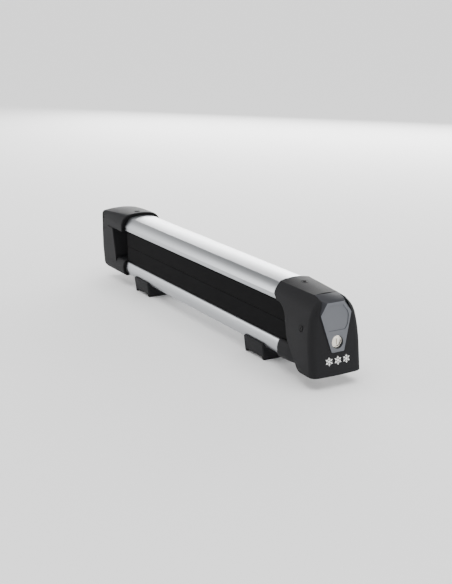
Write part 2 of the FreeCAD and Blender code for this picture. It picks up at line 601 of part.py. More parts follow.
def striker_plate():
    """Steel plate let into the nose; its front bar is what the hook holds."""
    plate = box(254.6, 283.8, -14.0, 14.0, 32.0, 34.4)
    plate = plate.makeFillet(2.0, [e for e in plate.Edges if abs(e.tangentAt(e.FirstParameter).z) > 0.9])
    plate = plate.cut(box(256.4, 273.5, -10.6, 10.6, 30, 36))
    for side in (-1, 1):
        plate = plate.cut(rod((281.6, side * 8.5, 30), (0, 0, 1), 1.5, 10))
    return plate


def striker_screws():
    screws = []
    for side in (-1, 1):
        shank = rod((281.6, side * 8.5, 25.0), (0, 0, 1), 1.2, 10.0)
        head = rod((281.6, side * 8.5, 34.4), (0, 0, 1), 2.1, 1.2)
        screws.append(shank.fuse(head).removeSplitter())
    return Part.makeCompound(screws)


def top_screws():
    """Screws that hold each arm cap on the upper profile."""
    screws = []
    for x, seat in ((TOP_SCREW_HINGE_X, TOP_SEAT_HINGE_Z), (TOP_SCREW_LOCK_X, TOP_SEAT_LOCK_Z)):
        shank = rod((x, 0, 101.0), (0, 0, 1), SCREW_R, seat - 101.0 + 0.2)
        head = rod((x, 0, seat), (0, 0, 1), SCREW_HEAD_R, 1.6)
        head = head.cut(rod((x, 0, seat + 0.6), (0, 0, 1), 1.5, 2))
        screws.append(shank.fuse(head).removeSplitter())
    return Part.makeCompound(screws)


def base_screws():
    """Screws that hold the fixed caps on the lower profile, from below."""
    screws = []
    for x in (TOP_SCREW_HINGE_X, TOP_SCREW_LOCK_X):
        shank = rod((x, 0, BASE_SEAT_Z), (0, 0, 1), SCREW_R, 15.0)
        head = rod((x, 0, 14.0), (0, 0, 1), SCREW_HEAD_R, BASE_SEAT_Z - 14.0)
        head = head.cut(rod((x, 0, 13.0), (0, 0, 1), 1.5, 2.4))
        screws.append(shank.fuse(head).removeSplitter())
    return Part.makeCompound(screws)


# Feet

def foot(centre):
    """Hollow moulded raiser: its long walls clasp the profile, its end walls reach the bar."""
    x0, x1 = centre - FOOT_LENGTH / 2, centre + FOOT_LENGTH / 2
    half = [(0, 0), (26.6, 0), (29.2, 19.0), (29.2, 22.6), (0, 22.6)]
    body = rounded(bar(across(half, x0), FOOT_LENGTH), FOOT_CORNER_R,
                   lambda m: min(abs(m.x - x0), abs(m.x - x1)) < 0.1 and abs(m.y) > 26.5)
    body = rounded(body, EDGE_R, lambda m: m.z > 22.5 and abs(m.y) > 27)
    body = body.cut(bar(across(lower_half(), x0 - 5).makeOffset2D(0.05), FOOT_LENGTH + 10))
    wall = 2.6
    inside = [(0, -1), (26.6 - wall, -1), (28.2 - wall, 12.0), (0, 12.0)]
    for k in (-1, 1):
        chamber = bar(across(inside, centre + k * 11.4 - 9.0), 18.0)
        body = body.cut(chamber)
    notch = side_prism([(x0 + 4.0, -1), (x0 + 5.2, 3.6), (x1 - 5.2, 3.6), (x1 - 4.0, -1)])
    body = body.cut(notch)
    body = body.cut(rod((centre, 0, 3), (0, 0, 1), MOUNT_HOLE_R, 20))
    body = body.cut(rod((centre, 0, 3), (0, 0, 1), 6.6, 5.0))
    for k in (-1, 1):
        x = centre + k * CLAMP_SCREW_PITCH / 2
        body = body.cut(rod((x, 0, 3), (0, 0, 1), 2.6, 20))
    return body


def foot_screws():
    screws = []
    for centre in FOOT_CENTRES.values():
        for k in (-1, 1):
            x = centre + k * CLAMP_SCREW_PITCH / 2
            shank = rod((x, 0, 11.9), (0, 0, 1), 2.5, 14.0)
            head = rod((x, 0, 8.0), (0, 0, 1), 4.6, 4.0)
            head = head.cut(rod((x, 0, 7), (0, 0, 1), 2.0, 3.6))
            screws.append(shank.fuse(head).removeSplitter())
    return Part.makeCompound(screws)


def slide_nuts():
    """Threaded blocks in the lower channel, one for each foot screw."""
    nuts = []
    for centre in FOOT_CENTRES.values():
        for k in (-1, 1):
            x = centre + k * CLAMP_SCREW_PITCH / 2
            block = box(x - 6.5, x + 6.5, -9.6, 9.6, 19.8, 24.4)
            nuts.append(block.cut(rod((x, 0, 15), (0, 0, 1), 2.5, 15)))
    return Part.makeCompound(nuts)


NODES = {
    "lower_profile": lower_profile(),
    "upper_profile": upper_profile(),
    "lower_rubber": rubber(False),
    "upper_rubber": rubber(True),
    "hinge_bracket": hinge_bracket(),
    "hinge_cap": hinge_cap(),
    "lower_gasket": lower_gasket(),
    "upper_gasket": upper_gasket(),
    "hinge_bushes": hinge_bushes(),
    "hinge_pin": hinge_pin(),
    "hinge_pin_clip": hinge_pin_clip(),
    "lock_housing": lock_housing(),
    "push_button": push_button(),
    "button_pin": button_pin(),
    "button_spring": button_spring(),
    "latch_lever": latch_lever(),
    "latch_spring": latch_spring(),
    "side_pin": side_pin(),
    "side_pin_caps": side_pin_caps(),
    "lock_barrel": lock_barrel(),
    "barrel_nut": barrel_nut(),
    "lock_plug": lock_plug(),
    "lock_cam": lock_cam(),
    "cam_screw": cam_screw(),
    "lock_nose": lock_nose(),
    "striker_plate": striker_plate(),
    "striker_screws": striker_screws(),
    "top_screws": top_screws(),
    "base_screws": base_screws(),
    "foot_screws": foot_screws(),
    "slide_nuts": slide_nuts(),
}
for end, centre_x in FOOT_CENTRES.items():
    NODES["foot_" + end] = foot(centre_x)

os.makedirs("parts", exist_ok=True)
for name, shape in NODES.items():
    shape.exportStep("parts/" + name + ".step")
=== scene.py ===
"""Roof ski rack: anodised profiles, moulded ends, rubber linings and a key lock, each dressed in turn."""

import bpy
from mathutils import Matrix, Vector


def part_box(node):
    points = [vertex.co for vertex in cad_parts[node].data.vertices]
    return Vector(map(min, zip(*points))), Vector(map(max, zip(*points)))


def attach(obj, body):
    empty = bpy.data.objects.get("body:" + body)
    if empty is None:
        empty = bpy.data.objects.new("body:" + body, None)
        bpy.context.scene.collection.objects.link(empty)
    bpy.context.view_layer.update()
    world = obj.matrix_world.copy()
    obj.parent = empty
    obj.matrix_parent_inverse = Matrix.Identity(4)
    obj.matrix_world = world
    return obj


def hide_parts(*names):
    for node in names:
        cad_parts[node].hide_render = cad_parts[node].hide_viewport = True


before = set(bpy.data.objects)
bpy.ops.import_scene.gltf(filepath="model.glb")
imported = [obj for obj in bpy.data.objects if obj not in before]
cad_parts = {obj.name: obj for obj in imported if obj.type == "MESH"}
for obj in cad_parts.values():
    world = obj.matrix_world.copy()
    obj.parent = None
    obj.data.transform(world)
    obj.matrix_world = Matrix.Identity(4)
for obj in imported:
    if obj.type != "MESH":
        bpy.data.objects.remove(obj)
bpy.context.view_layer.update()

import math

import bmesh
import bpy
from mathutils import Matrix, Vector

# ---- Camera, floor and light -------------------------------------------------------------------
# The rack is seen from beyond its lock end and a little above, on a pale studio floor. Upright
# soft boxes behind it and beyond its end give the long clean reflections of anodised bars.

EYE = Vector((1.2919, -0.7220, 0.4658))
AIM = Vector((-0.8326, 0.4805, -0.2754))
FOCAL_MM = 66.5
SENSOR_MM = 36.0

camera_data = bpy.data.cameras.new("camera")
camera_data.lens = FOCAL_MM
camera_data.sensor_width = SENSOR_MM
camera = bpy.data.objects.new("camera", camera_data)
camera.location = EYE
camera.rotation_euler = AIM.to_track_quat("-Z", "Y").to_euler()
bpy.context.scene.collection.objects.link(camera)
bpy.context.scene.camera = camera


def linear(code):
    """sRGB hex to the linear colour that a shader takes."""
    parts = [int(code[k:k + 2], 16) / 255 for k in (1, 3, 5)]
    return tuple(c / 12.92 if c <= 0.04045 else ((c + 0.055) / 1.055) ** 2.4 for c in parts) + (1.0,)


def node(tree, kind, links=(), **settings):
    """Add a shader node, set its values and sockets, and link (socket, output) pairs into it."""
    made = tree.nodes.new(kind)
    for name, value in settings.items():
        if hasattr(made, name):
            setattr(made, name, value)
        else:
            made.inputs[name.replace("_", " ")].default_value = value
    for socket, output in links:
        tree.links.new(output, made.inputs[socket])
    return made


def material(name, colour, roughness, metallic=0.0):
    """A named finish: returns the material, its node tree and its shader."""
    made = bpy.data.materials.new(name)
    made.use_nodes = True
    shader = made.node_tree.nodes["Principled BSDF"]
    shader.inputs["Base Color"].default_value = linear(colour)
    shader.inputs["Roughness"].default_value = roughness
    shader.inputs["Metallic"].default_value = metallic
    return made, made.node_tree, shader


def finished(shape, name, finish, smooth_angle=None):
    """Turn a bmesh into a painted object at the origin; faces under smooth_angle apart run on."""
    mesh = bpy.data.meshes.new(name)
    shape.to_mesh(mesh)
    shape.free()
    mesh.materials.append(finish)
    if smooth_angle:
        mesh.shade_smooth()
        mesh.set_sharp_from_angle(angle=math.radians(smooth_angle))
    made = bpy.data.objects.new(name, mesh)
    bpy.context.scene.collection.objects.link(made)
    return made


FLOOR_HALF = 30.0           # far enough for its edge to lie at the horizon
CARD_WAVES = 900.0          # the card isn't quite flat: gentle waves of about 7 cm, from edge to edge

card, tree, shader = material("matt_white_card", "#FBFBFB", 0.9)
waves = node(tree, "ShaderNodeTexNoise", Scale=CARD_WAVES)
bump = node(tree, "ShaderNodeBump", [("Height", waves.outputs["Fac"])], Strength=0.05)
tree.links.new(bump.outputs["Normal"], shader.inputs["Normal"])
shape = bmesh.new()
bmesh.ops.create_grid(shape, x_segments=1, y_segments=1, size=FLOOR_HALF)
finished(shape, "floor", card)

WALL_GLOW = 1.90            # the studio walls are about as bright as the floor
CEILING_GLOW = 0.30
WALL_TOP = (0.28, 0.46)     # sine of the elevation where the walls start and stop to darken
CEILING_LIGHT = 3.3
CEILING_SPREAD = math.radians(70)

world = bpy.data.worlds.new("studio")
world.use_nodes = True
tree = world.node_tree
place = node(tree, "ShaderNodeTexCoord")
upward = node(tree, "ShaderNodeSeparateXYZ", [("Vector", place.outputs["Generated"])])
walls = node(tree, "ShaderNodeMapRange", [("Value", upward.outputs["Z"])], From_Min=WALL_TOP[0],
             From_Max=WALL_TOP[1], To_Min=WALL_GLOW, To_Max=CEILING_GLOW)
background = tree.nodes["Background"]
background.inputs["Color"].default_value = (1.0, 1.0, 1.0, 1.0)
tree.links.new(walls.outputs["Result"], background.inputs["Strength"])
bpy.context.scene.world = world

ceiling = bpy.data.lights.new("ceiling_light", "SUN")
ceiling.energy = CEILING_LIGHT
ceiling.angle = CEILING_SPREAD
holder = bpy.data.objects.new("ceiling_light", ceiling)
bpy.context.scene.collection.objects.link(holder)

RACK_MIDDLE = Vector((0.0, 0.0, 0.06))
SOFT_BOXES = {              # place, width and height in metres, watts
    "side_box": ((-1.5, -1.9, 0.9), (1.6, 0.8), 16),
    "back_box": ((-1.5, 1.7, 0.58), (2.6, 0.55), 60),
    "end_box": ((2.1, 1.15, 0.50), (1.6, 0.9), 10),
}
for name, (place, size, watts) in SOFT_BOXES.items():
    lamp = bpy.data.lights.new(name, "AREA")
    lamp.shape = "RECTANGLE"
    lamp.size, lamp.size_y = size
    lamp.energy = watts
    holder = bpy.data.objects.new(name, lamp)
    holder.location = place
    holder.rotation_euler = (RACK_MIDDLE - Vector(place)).to_track_quat("-Z", "Y").to_euler()
    bpy.context.scene.collection.objects.link(holder)

# ---- Aluminium profiles ------------------------------------------------------------------------
# Two bars of 6060 alloy, pressed through a die, etched and clear anodised. The die leaves fine lines
# along them, and the oxide is satin: it draws each soft box out into a long bright streak.

DIE_LINE = 0.0006           # spacing of the coarser die lines, drawn wide enough to show
LINE_RUN = 0.3              # the lines hold for about this length


def coordinates(tree, sizes):
    """Object coordinates in which a pattern of scale 1 has these sizes along X, Y and Z."""
    place = node(tree, "ShaderNodeTexCoord")
    shrunk = node(tree, "ShaderNodeMapping", [("Vector", place.outputs["Object"])],
                  Scale=[1 / size for size in sizes])
    return shrunk.outputs["Vector"]


aluminium, tree, shader = material("satin_anodised_aluminium", "#AEB1B4", 0.32, 1.0)
lines = node(tree, "ShaderNodeTexNoise", [("Vector", coordinates(tree, (LINE_RUN, DIE_LINE, DIE_LINE)))],
             Scale=1.0, Detail=3.0)
bump = node(tree, "ShaderNodeBump", [("Height", lines.outputs["Fac"])], Strength=0.10, Distance=0.0001)
rough = node(tree, "ShaderNodeMapRange", [("Value", lines.outputs["Fac"])], To_Min=0.26, To_Max=0.38)
tint = node(tree, "ShaderNodeMixRGB", [("Fac", lines.outputs["Fac"])],
            Color1=linear("#A4A7AA"), Color2=linear("#B8BABD"))
tree.links.new(bump.outputs["Normal"], shader.inputs["Normal"])
tree.links.new(rough.outputs["Result"], shader.inputs["Roughness"])
tree.links.new(tint.outputs["Color"], shader.inputs["Base Color"])


def paint(finish, *names):
    """Give CAD nodes their finish."""
    for name in names:
        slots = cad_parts[name].data.materials
        slots.clear()
        slots.append(finish)


paint(aluminium, "lower_profile", "upper_profile")

# ---- Rubber linings ----------------------------------------------------------------------------
# Soft black EPDM, extruded with two air chambers so that it gives over a ski, and a foot that snaps
# into the bar. The clamping face is ribbed along its length. The two halves meet edge to edge.

# Half outlines, as half width and height: the snap-in foot over its sole, then the body's side over the
# foot, and an air chamber under the clamping face.
FOOT = [(0.0, 0.0), (0.0182, 0.0), (0.0182, 0.0044), (0.0137, 0.0044), (0.0137, 0.0071)]
SIDE = [(0.0137, 0.0), (0.0240, 0.0), (0.0243, 0.0003), (0.0246, 0.0060), (0.0248, 0.0125),
        (0.0247, 0.0190)]
CHAMBER = [(0.0020, -0.0214), (0.0200, -0.0214), (0.0206, -0.0144), (0.0204, -0.0054), (0.0190, -0.0040),
           (0.0020, -0.0040)]
FACE_DEPTH = 0.0324         # from the clamping face down to the sole
FACE_HALF = 0.0244
FACE_EDGE = 0.0003          # rounding of the edge where the two halves meet
RIBBED_HALF = 0.0226
RIB_PITCH = 0.0040
RIB_DEPTH = 0.0011
RIB_STEPS = 6
LINING_SMOOTH = 35          # degrees between faces that still look like one surface
BLOOM = (0.025, 0.00625, 0.00625)   # patches of wax that the rubber sweats out, longer along the bar
SKIN = 0.0004               # the extruded skin's roughness, drawn coarser than it is so that it shows
WELD = 1e-6                 # points nearer than this are one


def ribbed_face(level):
    """Points across the clamping face, from its edge to its centre line: shallow rounded grooves."""
    steps = int(RIBBED_HALF / RIB_PITCH * RIB_STEPS)
    points = []
    for step in range(steps):
        y = RIBBED_HALF * (step / steps)
        points.append((y, level - RIB_DEPTH * (0.5 - 0.5 * math.cos(2 * math.pi * (y / RIB_PITCH + 0.5)))))
    return points[::-1]


def pulled(shape, faces, run):
    """Extrude faces along X and return the faces at the new end; a wall inside the shape isn't kept."""
    edges = list(dict.fromkeys(e for f in faces for e in f.edges))
    moved = bmesh.ops.extrude_face_region(shape, geom=faces + edges)["geom"]
    points = [v for v in moved if isinstance(v, bmesh.types.BMVert)]
    bmesh.ops.translate(shape, vec=(run, 0, 0), verts=points)
    return [f for f in moved if isinstance(f, bmesh.types.BMFace)]


def filled(shape, x, loops):
    """Flat faces at x over the area between closed (y, z) outlines."""
    edges = []
    for loop in loops:
        ring = [shape.verts.new((x, y, z)) for y, z in loop]
        edges += [shape.edges.new((ring[k - 1], ring[k])) for k in range(len(ring))]
    bmesh.ops.triangle_fill(shape, edges=edges, use_beauty=True)


def mirrored(half):
    """Close a half outline, from the centre line round to the centre line, over both sides."""
    return half + [(-y, z) for y, z in reversed(half) if y > 0]


def lining(start, bar_end, end, seam):
    """The lower lining: its foot stops with the bar, its body runs on into the moulded end."""
    sole = seam - FACE_DEPTH
    ledge = sole + FOOT[-1][1]
    body = [(y, ledge + z) for y, z in SIDE]
    body += [(FACE_HALF, seam - FACE_EDGE), (FACE_HALF - FACE_EDGE, seam)] + ribbed_face(seam)
    room = [(y, seam + z) for y, z in CHAMBER]
    shape = bmesh.new()
    filled(shape, start, [mirrored([(y, sole + z) for y, z in FOOT])])
    filled(shape, start, [mirrored(body), room, [(-y, z) for y, z in room]])
    bmesh.ops.remove_doubles(shape, verts=shape.verts, dist=WELD)
    ends = pulled(shape, shape.faces[:], bar_end - start)
    pulled(shape, [f for f in ends if f.calc_center_median().z > ledge], end - bar_end)
    bmesh.ops.remove_doubles(shape, verts=shape.verts, dist=WELD)
    bmesh.ops.recalc_face_normals(shape, faces=shape.faces)
    return shape


rubber, tree, shader = material("matt_epdm_rubber", "#151516", 0.7)
shader.inputs["Specular IOR Level"].default_value = 0.04
bloom = node(tree, "ShaderNodeTexNoise", [("Vector", coordinates(tree, BLOOM))], Scale=1.0, Detail=5.0)
skin = node(tree, "ShaderNodeTexNoise", [("Vector", coordinates(tree, (SKIN,) * 3))], Scale=1.0)
bump = node(tree, "ShaderNodeBump", [("Height", skin.outputs["Fac"])], Strength=0.12, Distance=0.0002)
rough = node(tree, "ShaderNodeMapRange", [("Value", bloom.outputs["Fac"])], To_Min=0.6, To_Max=0.8)
tint = node(tree, "ShaderNodeMixRGB", [("Fac", bloom.outputs["Fac"])],
            Color1=linear("#0B0B0C"), Color2=linear("#131314"))
tree.links.new(bump.outputs["Normal"], shader.inputs["Normal"])
tree.links.new(rough.outputs["Result"], shader.inputs["Roughness"])
tree.links.new(tint.outputs["Color"], shader.inputs["Base Color"])

low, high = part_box("lower_rubber")
parting = (high.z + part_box("upper_rubber")[0].z) / 2
for name, body, bar in (("lower", "base", "lower_profile"), ("upper", "arm", "upper_profile")):
    shape = lining(low.x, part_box(bar)[1].x, high.x, high.z)
    if name == "upper":
        about_parting = Matrix.Translation((0, 0, -parting))
        bmesh.ops.scale(shape, vec=(1, 1, -1), verts=shape.verts, space=about_parting)
        bmesh.ops.recalc_face_normals(shape, faces=shape.faces)
    piece = finished(shape, name + "_lining", rubber, LINING_SMOOTH)
    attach(piece, body)
    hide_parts(name + "_rubber")

# ---- Rim seals ---------------------------------------------------------------------------------
# A thin lip of soft black elastomer that closes each hinge end against its bar and keeps road water out. Its
# near-black colour also stands for the shade in the step between end cap and bar: partly painted shade.
# Pressed from sheet, so its edges are only just rounded.

SEAL_EDGE = 0.00025
DUST = 0.0033               # patches of road dust that dull the lip
FLAT = math.radians(0.3)    # faces that differ by less are one
EASED_FROM = 32             # degrees between faces whose shared edge is rounded
SMOOTH = 30                 # degrees between faces that still look like one surface


def merged(name):
    """A welded copy of a CAD node's mesh, its flat faces joined up."""
    shape = bmesh.new()
    shape.from_mesh(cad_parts[name].data)
    bmesh.ops.remove_doubles(shape, verts=shape.verts, dist=WELD)
    bmesh.ops.dissolve_limit(shape, angle_limit=FLAT, verts=shape.verts, edges=shape.edges)
    return shape


def eased(name, width, from_angle=EASED_FROM):
    """A welded copy of a CAD node, its edges sharper than an angle in degrees rounded to a width."""
    shape = merged(name)
    sharp = [e for e in shape.edges if e.is_manifold and e.calc_face_angle() > math.radians(from_angle)]
    bmesh.ops.bevel(shape, geom=sharp, offset=width, segments=2, profile=0.5, affect="EDGES",
                    material=-1, clamp_overlap=True)
    bmesh.ops.remove_doubles(shape, verts=shape.verts, dist=WELD)
    return shape


def stand_in(shape, name, finish, body, slot, *nodes):
    """Finish a piece that takes the place of CAD nodes on one body."""
    piece = finished(shape, name, finish, SMOOTH)
    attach(piece, body)
    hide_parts(*nodes)
    return piece


# Near-black seal colour: the rubber's own, and partly painted shade in the step at each hinge end
seal_and_painted_shade, tree, shader = material("soft_black_elastomer_painted_shade", "#0B0B0C", 0.75)
shader.inputs["Specular IOR Level"].default_value = 0.12
dust = node(tree, "ShaderNodeTexNoise", [("Vector", coordinates(tree, (DUST,) * 3))], Scale=1.0, Detail=4.0)
rough = node(tree, "ShaderNodeMapRange", [("Value", dust.outputs["Fac"])], To_Min=0.65, To_Max=0.85)
tree.links.new(rough.outputs["Result"], shader.inputs["Roughness"])
for name, part, body in (("lower_seal", "lower_gasket", "base"), ("upper_seal", "upper_gasket", "arm")):
    stand_in(eased(part, SEAL_EDGE), name, seal_and_painted_shade, body, "gasket_rubber", part)

# ---- Moulded ends ------------------------------------------------------------------------------
# Glass-filled nylon, black, moulded in spark-eroded tools. The skin has an even fine grain that
# scatters the light, so that the flat sides look dark grey and only the tops catch a soft sheen.

GRAIN = 0.0007              # size of the moulded grain, drawn twice as coarse as it is
FLOW = 0.05                 # the melt's flow leaves the skin a little glossier in places

nylon, tree, shader = material("grained_black_nylon", "#1D1D1F", 0.56)
shader.inputs["Specular IOR Level"].default_value = 0.08
grain = node(tree, "ShaderNodeTexNoise", [("Vector", coordinates(tree, (GRAIN,) * 3))],
             Scale=1.0, Detail=2.0)
flow = node(tree, "ShaderNodeTexNoise", [("Vector", coordinates(tree, (FLOW,) * 3))], Scale=1.0, Detail=3.0)
bump = node(tree, "ShaderNodeBump", [("Height", grain.outputs["Fac"])], Strength=0.22, Distance=0.0003)
rough = node(tree, "ShaderNodeMapRange", [("Value", flow.outputs["Fac"])], To_Min=0.5, To_Max=0.62)
tint = node(tree, "ShaderNodeMixRGB", [("Fac", grain.outputs["Fac"])],
            Color1=linear("#19191A"), Color2=linear("#232325"))
tree.links.new(bump.outputs["Normal"], shader.inputs["Normal"])
tree.links.new(rough.outputs["Result"], shader.inputs["Roughness"])
tree.links.new(tint.outputs["Color"], shader.inputs["Base Color"])
paint(nylon, "hinge_bracket", "hinge_cap", "lock_housing", "lock_nose", "foot_hinge_end", "foot_lock_end")

# ---- Push button -------------------------------------------------------------------------------
# ABS with a satin spark finish in two greys: a slate-grey faceted cap and a lighter front panel with a
# finger dish, partly moulded in two shots and partly painted: the split goes by the way each face looks, so
# the front carries painted light and the facets turned away from it painted shade. The edges are all eased,
# so that each one catches a thin line of light.

BUTTON_EDGE = 0.0005
BUTTON_EASED_FROM = 20      # degrees
HAZE = 0.0009               # the spark finish, drawn coarser than it is so that it shows
GREYS = {"satin_grey_abs_painted_light": "#626469", "slate_grey_abs_painted_shade": "#2F3034"}
LIT_PANEL_LEAN = 0.93           # a face looking this much along X takes the lighter grey (front panel and painted light), the rest the slate grey (painted shade)

greys = []
for name, colour in GREYS.items():
    finish, tree, shader = material(name, colour, 0.4)
    shader.inputs["Specular IOR Level"].default_value = 0.14
    haze = node(tree, "ShaderNodeTexNoise", [("Vector", coordinates(tree, (HAZE,) * 3))], Scale=1.0)
    bump = node(tree, "ShaderNodeBump", [("Height", haze.outputs["Fac"])], Strength=0.07, Distance=0.0002)
    rough = node(tree, "ShaderNodeMapRange", [("Value", haze.outputs["Fac"])], To_Min=0.38, To_Max=0.48)
    tree.links.new(bump.outputs["Normal"], shader.inputs["Normal"])
    tree.links.new(rough.outputs["Result"], shader.inputs["Roughness"])
    greys.append(finish)
cap = eased("push_button", BUTTON_EDGE, BUTTON_EASED_FROM)
piece = stand_in(cap, "button_cap", greys[0], "button", "grey_abs", "push_button")
piece.data.materials.append(greys[1])
# Painted light and shade: faces turned to the front get the lighter grey, all the others the darker one
for face in piece.data.polygons:
    face.material_index = 0 if face.normal.x > LIT_PANEL_LEAN else 1

# ---- Key lock ----------------------------------------------------------------------------------
# Nickel-plated zinc barrel and plug, their faces turned on a lathe: fine rings about the lock's
# axis, a chamfered rim, and the dark key slot across the middle.

RING_PITCH = 0.0005         # the turned rings, drawn wider than they are so that they show
LOCK_EDGE = 0.0003

nickel, tree, shader = material("turned_nickel_plate", "#D9D4CB", 0.24, 1.0)
low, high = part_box("lock_barrel")
lock_z = (low.z + high.z) / 2
place = node(tree, "ShaderNodeTexCoord")
centred = node(tree, "ShaderNodeMapping", [("Vector", place.outputs["Object"])],
               Location=(0.0, 0.0, -lock_z))
flat = node(tree, "ShaderNodeVectorMath", [("Vector", centred.outputs["Vector"])], operation="MULTIPLY")
flat.inputs[1].default_value = (0.0, 1.0, 1.0)
radius = node(tree, "ShaderNodeVectorMath", [("Vector", flat.outputs["Vector"])], operation="LENGTH")
turned = node(tree, "ShaderNodeMath", [(0, radius.outputs["Value"])], operation="MULTIPLY")
turned.inputs[1].default_value = 2 * math.pi / RING_PITCH
rings = node(tree, "ShaderNodeMath", [(0, turned.outputs["Value"])], operation="SINE")
bump = node(tree, "ShaderNodeBump", [("Height", rings.outputs["Value"])], Strength=0.05, Distance=0.0001)
tree.links.new(bump.outputs["Normal"], shader.inputs["Normal"])
stand_in(eased("lock_barrel", LOCK_EDGE), "barrel_ring", nickel, "button", "lock_steel", "lock_barrel")
stand_in(eased("lock_plug", LOCK_EDGE / 2), "key_plug_core", nickel, "key_plug", "lock_steel", "lock_plug")
paint(nickel, "barrel_nut")

# ---- Snow symbols ------------------------------------------------------------------------------
# Three small snowflakes in white ink, low on the end face: a plain sign for the season. They are
# pad-printed on the nylon, so the film is thin, even and a little glossier than the grain round it.

FLAKE_R = 0.0052
FLAKE_STROKE = 0.0008
FLAKE_PITCH = 0.0125
FLAKE_DROP = 0.0222         # below the middle of the lock
TWIG_ROOT = 0.55            # where the twigs start along an arm, and their length, as shares of it
TWIG_LENGTH = 0.3
TWIG_TURN = math.radians(55)
INK = 0.00008               # thickness of the ink film
PORES = 0.00033             # pinholes in the ink, drawn coarser than they are so that they show

ink, tree, shader = material("white_pad_print_ink", "#F2F2F0", 0.45)
pores = node(tree, "ShaderNodeTexNoise", [("Vector", coordinates(tree, (PORES,) * 3))], Scale=1.0)
bump = node(tree, "ShaderNodeBump", [("Height", pores.outputs["Fac"])], Strength=0.05, Distance=0.0001)
tree.links.new(bump.outputs["Normal"], shader.inputs["Normal"])


def stroke(shape, start, end):
    """Flat bar of ink between two points of the Y-Z plane."""
    run = end - start
    middle = (start + end) / 2
    place = Matrix.Translation((0.0, middle.x, middle.y)) @ Matrix.Rotation(math.atan2(run.y, run.x), 4, "X")
    size = Matrix.Diagonal((INK, run.length, FLAKE_STROKE, 1.0))
    bmesh.ops.create_cube(shape, size=1.0, matrix=place @ size)


shape = bmesh.new()
for k in (-1, 0, 1):
    centre = Vector((k * FLAKE_PITCH, lock_z - FLAKE_DROP))
    for sixth in range(6):
        turn = sixth * math.pi / 3
        out = Vector((math.sin(turn), math.cos(turn))) * FLAKE_R
        if sixth < 3:
            stroke(shape, centre - out, centre + out)
        for side in (-1, 1):
            root = centre + out * TWIG_ROOT
            stroke(shape, root, root + Matrix.Rotation(side * TWIG_TURN, 2) @ out * TWIG_LENGTH)
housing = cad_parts["lock_housing"]
for v in shape.verts:
    face_point = housing.ray_cast(Vector((1.0, v.co.y, v.co.z)), Vector((-1.0, 0.0, 0.0)))[1]
    v.co.x += face_point.x + INK / 4
piece = finished(shape, "snow_symbols", ink)
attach(piece, "arm")

# ---- Screws ------------------------------------------------------------------------------------
# Stainless button-head screws, blackened, with a hexagon socket. Each is turned from its tip up:
# point, thread, plain shank, washer face, domed head, and the socket sunk into it.

THREAD_PITCH = 0.0010
THREAD_DEPTH = 0.00025
THREADED_SHARE = 0.7
TURN_STEPS = 32
DOME_STEPS = 5
HEAD_EDGE = 0.0002
SOCKET_SHARE = 0.48         # socket size as a share of the head's radius
SOCKET_LEAD = 1.15          # the mouth of the socket is this much wider than its bottom
SOCKET_DEPTH = 0.75
POINT_R = 0.6               # the point's radius and height as shares of the shank's radius
POINT_H = 0.4
BRIM = 0.4                  # height of the head's edge as a share of the head
STAIN = 0.002               # clouds in the blackening


def islands(name):
    """Lowest and highest corner of each separate solid of a CAD node."""
    shape = bmesh.new()
    shape.from_mesh(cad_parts[name].data)
    bmesh.ops.remove_doubles(shape, verts=shape.verts, dist=WELD)
    left = set(shape.verts)
    found = []
    while left:
        group = [left.pop()]
        for v in group:
            near = {e.other_vert(v) for e in v.link_edges} & left
            group.extend(near)
            left -= near
        found.append([Vector([pick(v.co[k] for v in group) for k in range(3)]) for pick in (min, max)])
    shape.free()
    return sorted(found, key=lambda pair: tuple(round(c, 4) for c in pair[0]))


def screw_outline(length, shank_r, head_r, head_h, socket_r):
    """Radius and level along a screw, from its point to the rim of its socket."""
    grip = length - head_h
    outline = [(0.0, 0.0), (shank_r * POINT_R, 0.0), (shank_r, shank_r * POINT_H)]
    for k in range(int(grip * THREADED_SHARE / THREAD_PITCH)):
        level = shank_r * POINT_H + k * THREAD_PITCH
        outline += [(shank_r - THREAD_DEPTH, level + THREAD_PITCH / 2), (shank_r, level + THREAD_PITCH)]
    outline += [(shank_r, grip), (head_r - HEAD_EDGE, grip), (head_r, grip + HEAD_EDGE)]
    rim = socket_r * SOCKET_LEAD
    for k in range(DOME_STEPS):
        turn = math.radians(90 * (k + 1) / DOME_STEPS)
        outline.append((head_r - (head_r - rim) * (1 - math.cos(turn)),
                        grip + head_h * (BRIM + (1 - BRIM) * math.sin(turn))))
    return outline


def turned_screw(shape, tip, axis, length, shank_r, head_r, head_h):
    """Add a screw that starts at its tip and runs for a length along its axis to the top of its head."""
    socket_r = head_r * SOCKET_SHARE
    made = bmesh.new()
    outline = screw_outline(length, shank_r, head_r, head_h, socket_r)
    points = [made.verts.new((r, 0.0, z)) for r, z in outline]
    edges = [made.edges.new(pair) for pair in zip(points, points[1:])]
    bmesh.ops.spin(made, geom=points + edges, cent=(0, 0, 0), axis=(0, 0, 1), angle=2 * math.pi,
                   steps=TURN_STEPS, use_merge=True)
    bmesh.ops.remove_doubles(made, verts=made.verts, dist=WELD)
    rim = [e for e in made.edges if e.is_boundary]
    mouth = bmesh.ops.holes_fill(made, edges=rim, sides=0)["faces"]
    sunk = bmesh.ops.extrude_face_region(made, geom=mouth + rim)["geom"]
    for v in (g for g in sunk if isinstance(g, bmesh.types.BMVert)):
        angle = math.atan2(v.co.y, v.co.x)
        sector = (angle + math.pi / 6) % (math.pi / 3) - math.pi / 6
        reach = socket_r * math.cos(math.pi / 6) / math.cos(sector)
        v.co = Vector((reach * math.cos(angle), reach * math.sin(angle), length - head_h * SOCKET_DEPTH))
    bmesh.ops.recalc_face_normals(made, faces=made.faces)
    turn = Vector((0, 0, 1)).rotation_difference(axis).to_matrix().to_4x4()
    bmesh.ops.transform(made, matrix=Matrix.Translation(tip) @ turn, verts=made.verts)
    mesh = bpy.data.meshes.new("screw")
    made.to_mesh(mesh)
    made.free()
    shape.from_mesh(mesh)
    bpy.data.meshes.remove(mesh)


